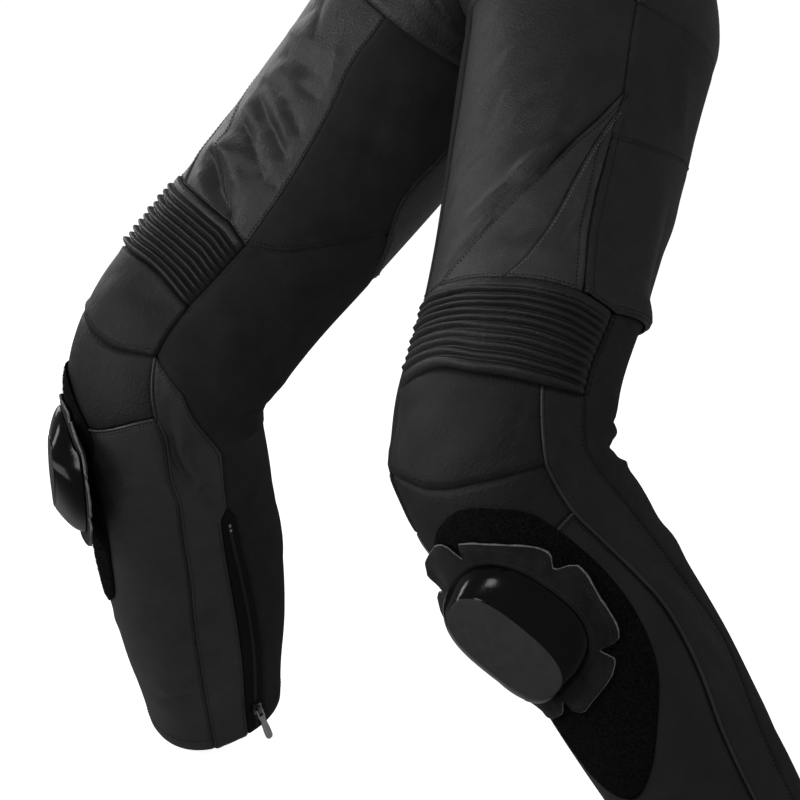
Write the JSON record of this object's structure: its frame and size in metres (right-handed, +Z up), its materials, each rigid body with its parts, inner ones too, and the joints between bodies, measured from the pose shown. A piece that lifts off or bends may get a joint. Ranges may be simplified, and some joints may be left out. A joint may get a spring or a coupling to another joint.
{
  "type": "motorcycle race suit",
  "caption": "Black one-piece leather motorcycle race suit in a worn riding pose, hollow, with ribbed stretch above the knees and moulded knee sliders.",
  "frame": {"origin": "centre of the neck opening, where the wearer's shoulders carry the suit", "axes": "+Z up, -Y the way the wearer faces, +X the wearer's left"},
  "size_m": [0.9072, 0.5862, 1.2897],
  "materials": {
    "suit_leather": "satin, pebbled grain",
    "knee_leather": "satin, fine grain",
    "accordion_leather": "soft, dull, wrinkled",
    "backing_leather": "suede, raw pale edges",
    "stretch_fabric": "matte stretch weave",
    "loop_fabric": "matte brushed loop pile",
    "slider_plastic": "glossy sides, matt worn face",
    "zip_tape": "matte woven tape",
    "zip_metal": "dark satin metal"
  },
  "bodies": {
    "suit": {"back_left": "suit_leather", "back_right": "suit_leather", "calf_inner_left": "suit_leather", "calf_inner_right": "suit_leather", "calf_outer_left": "suit_leather", "calf_outer_right": "suit_leather", "calf_zip_left_slider": "zip_metal", "calf_zip_right_slider": "zip_metal", "calf_zip_tape_left": "zip_tape", "calf_zip_tape_right": "zip_tape", "chest_left": "suit_leather", "chest_right": "suit_leather", "collar": "suit_leather", "hip_front_left": "suit_leather", "hip_front_right": "suit_leather", "knee_accordion_left": "accordion_leather", "knee_accordion_right": "accordion_leather", "knee_back_left": "stretch_fabric", "knee_back_right": "stretch_fabric", "knee_cup_left": "knee_leather", "knee_cup_right": "knee_leather", "knee_slider_left": "slider_plastic", "knee_slider_right": "slider_plastic", "knee_strap_left": "knee_leather", "knee_strap_right": "knee_leather", "loop_patch_left": "loop_fabric", "loop_patch_right": "loop_fabric", "main_zip": "zip_tape", "main_zip_slider": "zip_metal", "seat_left": "suit_leather", "seat_right": "suit_leather", "shin_front_left": "suit_leather", "shin_front_right": "suit_leather", "sleeve_back_left": "suit_leather", "sleeve_back_right": "suit_leather", "sleeve_front_left": "suit_leather", "sleeve_front_right": "suit_leather", "slider_backing_left": "backing_leather", "slider_backing_right": "backing_leather", "thigh_back_left": "suit_leather", "thigh_back_right": "suit_leather", "thigh_front_left": "suit_leather", "thigh_front_right": "suit_leather", "thigh_inner_left": "stretch_fabric", "thigh_inner_right": "stretch_fabric", "thigh_outer_lower_left": "suit_leather", "thigh_outer_lower_right": "suit_leather", "thigh_outer_upper_left": "suit_leather", "thigh_outer_upper_right": "suit_leather", "thigh_wedge_lower_left": "accordion_leather", "thigh_wedge_lower_right": "accordion_leather", "thigh_wedge_upper_left": "accordion_leather", "thigh_wedge_upper_right": "accordion_leather"},
    "main_zip_tab": {"main_zip_pull": "zip_metal"},
    "left_calf_zip_tab": {"calf_zip_left_pull": "zip_metal"},
    "right_calf_zip_tab": {"calf_zip_right_pull": "zip_metal"}
  },
  "joints": [
    {"name": "main_zip_tab_hinge", "type": "hinge", "parent": "suit", "child": "main_zip_tab", "pos_m": [0, -0.06741, -0.1019], "axis": [-1, 0, 0], "range_deg": [0, 165]},
    {"name": "left_calf_zip_tab_hinge", "type": "hinge", "parent": "suit", "child": "left_calf_zip_tab", "pos_m": [0.27218, 0.16388, -1.18878], "axis": [-0.0665, 0.9086, 0.4124], "range_deg": [-20, 143]},
    {"name": "right_calf_zip_tab_hinge", "type": "hinge", "parent": "suit", "child": "right_calf_zip_tab", "pos_m": [-0.31516, 0.13848, -1.18868], "axis": [-0.0001, -0.9154, -0.4025], "range_deg": [-25, 138]}
  ]
}
